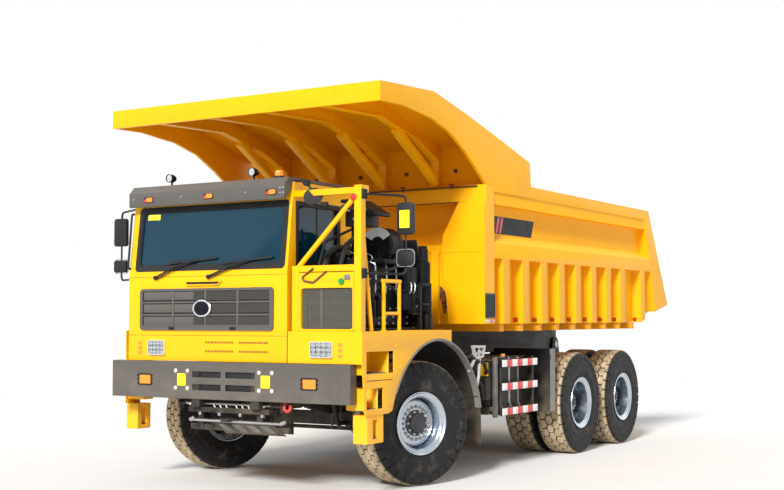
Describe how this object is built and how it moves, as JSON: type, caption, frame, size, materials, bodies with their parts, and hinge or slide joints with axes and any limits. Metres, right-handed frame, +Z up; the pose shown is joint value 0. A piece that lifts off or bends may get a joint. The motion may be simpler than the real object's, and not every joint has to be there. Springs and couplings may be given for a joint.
{
  "type": "mining dump truck",
  "caption": "Six-wheel off-highway dump truck with an offset cab, open engine deck, canopied tipping rock body, telescopic front hoist and steered front wheels.",
  "frame": {"origin": "on the ground, midway between the bumper's front face and the body's tail, on the centre line", "axes": "+X to the truck's left, +Y to its tail, +Z up"},
  "size_m": [4.52, 9.63, 4.71],
  "materials": {
    "yellow_paint": "gloss paint",
    "grey_paint": "satin paint",
    "black_paint": "satin paint",
    "engine_black": "painted casting",
    "wheel_silver": "silver paint",
    "polished_rod": "chromed",
    "tyre": "dusty rubber",
    "glass": "tinted",
    "amber_lens": "clear lens",
    "red_lens": "clear lens",
    "lamp_glass": "clear",
    "seat_cloth": "woven",
    "trim_plastic": "grained",
    "red_white_bar": "striped"
  },
  "bodies": {
    "chassis": {"frame_rails": "black_paint", "pivot_brackets": "black_paint", "frame_brackets": "black_paint", "cross_members": "black_paint", "front_bumper": "grey_paint", "tow_bar": "black_paint", "deck": "yellow_paint", "step_panels": "yellow_paint", "mudguards": "black_paint", "guard_frame": "yellow_paint", "radiator": "black_paint", "engine": "engine_black", "air_intake": "black_paint", "exhaust": "engine_black", "driveline": "engine_black", "cab_shell": "yellow_paint", "cab_roof": "grey_paint", "cab_glass": "glass", "grille_panel": "grey_paint", "seats": "seat_cloth", "dashboard": "trim_plastic", "mirrors": "trim_plastic", "work_lamps": "lamp_glass", "amber_lamps": "amber_lens", "tail_lamps": "red_lens", "fuel_tank": "black_paint", "side_guards": "red_white_bar", "hydraulic_tank": "black_paint", "front_axle": "black_paint", "rear_axles": "black_paint", "springs": "black_paint"},
    "tipping_body": {"body_shell": "yellow_paint", "body_front": "yellow_paint", "canopy": "yellow_paint", "canopy_ribs": "yellow_paint", "underframe": "yellow_paint"},
    "hoist_tube_0": {"hoist_barrel": "black_paint"},
    "hoist_tube_1": {"hoist_stage_1": "polished_rod"},
    "hoist_tube_2": {"hoist_stage_2": "polished_rod"},
    "hoist_tube_3": {"hoist_rod": "polished_rod"},
    "steer_left": {"knuckle_left": "black_paint"},
    "steer_right": {"knuckle_right": "black_paint"},
    "steer_link": {"tie_rod": "black_paint"},
    "wheel_front_left": {"tyre_front_left": "tyre", "rim_front_left": "wheel_silver"},
    "wheel_front_right": {"tyre_front_right": "tyre", "rim_front_right": "wheel_silver"},
    "wheel_mid_left": {"tyre_mid_left": "tyre", "rim_mid_left": "wheel_silver"},
    "wheel_mid_right": {"tyre_mid_right": "tyre", "rim_mid_right": "wheel_silver"},
    "wheel_rear_left": {"tyre_rear_left": "tyre", "rim_rear_left": "wheel_silver"},
    "wheel_rear_right": {"tyre_rear_right": "tyre", "rim_rear_right": "wheel_silver"},
    "door": {"cab_door": "yellow_paint", "door_glass": "glass"}
  },
  "joints": [
    {"name": "tip", "type": "hinge", "parent": "chassis", "child": "tipping_body", "pos_m": [0, 3.4, 1.56], "axis": [-1, 0, 0], "range_deg": [0, 40]},
    {"name": "hoist_lean", "type": "hinge", "parent": "chassis", "child": "hoist_tube_0", "pos_m": [0, -2.305, 1.15], "axis": [-1, 0, 0], "range_deg": [0, 23.14]},
    {"name": "hoist_slide_1", "type": "slide", "parent": "hoist_tube_0", "child": "hoist_tube_1", "axis": [0, 0, 1], "range_m": [0, 1.27]},
    {"name": "hoist_slide_2", "type": "slide", "parent": "hoist_tube_1", "child": "hoist_tube_2", "axis": [0, 0, 1], "range_m": [0, 1.27]},
    {"name": "hoist_slide_3", "type": "slide", "parent": "hoist_tube_2", "child": "hoist_tube_3", "axis": [0, 0, 1], "range_m": [0, 1.27]},
    {"name": "steering", "type": "hinge", "parent": "chassis", "child": "steer_left", "pos_m": [1.3, -3.055, 0.745], "axis": [0, 0, 1], "range_deg": [-14, 56]},
    {"name": "steering_right", "type": "hinge", "parent": "chassis", "child": "steer_right", "pos_m": [-1.3, -3.055, 0.745], "axis": [0, 0, 1], "range_deg": [-14, 56]},
    {"name": "link_slide", "type": "slide", "parent": "chassis", "child": "steer_link", "axis": [-1, 0, 0], "range_m": [-0.0605, 0.242]},
    {"name": "spin_front_left", "type": "hinge", "parent": "steer_left", "child": "wheel_front_left", "pos_m": [1.5446, -3.1489, 0.745], "axis": [0.9336, -0.3584, 0], "continuous": true},
    {"name": "spin_front_right", "type": "hinge", "parent": "steer_right", "child": "wheel_front_right", "pos_m": [-1.5446, -2.9611, 0.745], "axis": [0.9336, -0.3584, 0], "continuous": true},
    {"name": "spin_mid_left", "type": "hinge", "parent": "chassis", "child": "wheel_mid_left", "pos_m": [1.705, 1.221, 0.745], "axis": [1, 0, 0], "continuous": true},
    {"name": "spin_mid_right", "type": "hinge", "parent": "chassis", "child": "wheel_mid_right", "pos_m": [-1.705, 1.221, 0.745], "axis": [1, 0, 0], "continuous": true},
    {"name": "spin_rear_left", "type": "hinge", "parent": "chassis", "child": "wheel_rear_left", "pos_m": [1.705, 2.914, 0.745], "axis": [1, 0, 0], "continuous": true},
    {"name": "spin_rear_right", "type": "hinge", "parent": "chassis", "child": "wheel_rear_right", "pos_m": [-1.705, 2.914, 0.745], "axis": [1, 0, 0], "continuous": true},
    {"name": "door_hinge", "type": "hinge", "parent": "chassis", "child": "door", "pos_m": [-1.559, -4.483, 2.65], "axis": [0, 0, 1], "range_deg": [0, 60]}
  ],
  "couplings": [
    {"joint": "hoist_lean", "follows": "tip", "ratio": 0.5783},
    {"joint": "hoist_slide_1", "follows": "tip", "m_per_rad": 1.8183},
    {"joint": "hoist_slide_2", "follows": "tip", "m_per_rad": 1.8183},
    {"joint": "hoist_slide_3", "follows": "tip", "m_per_rad": 1.8183},
    {"joint": "steering_right", "follows": "steering", "ratio": 1},
    {"joint": "link_slide", "follows": "steering", "m_per_rad": 0.2475}
  ]
}
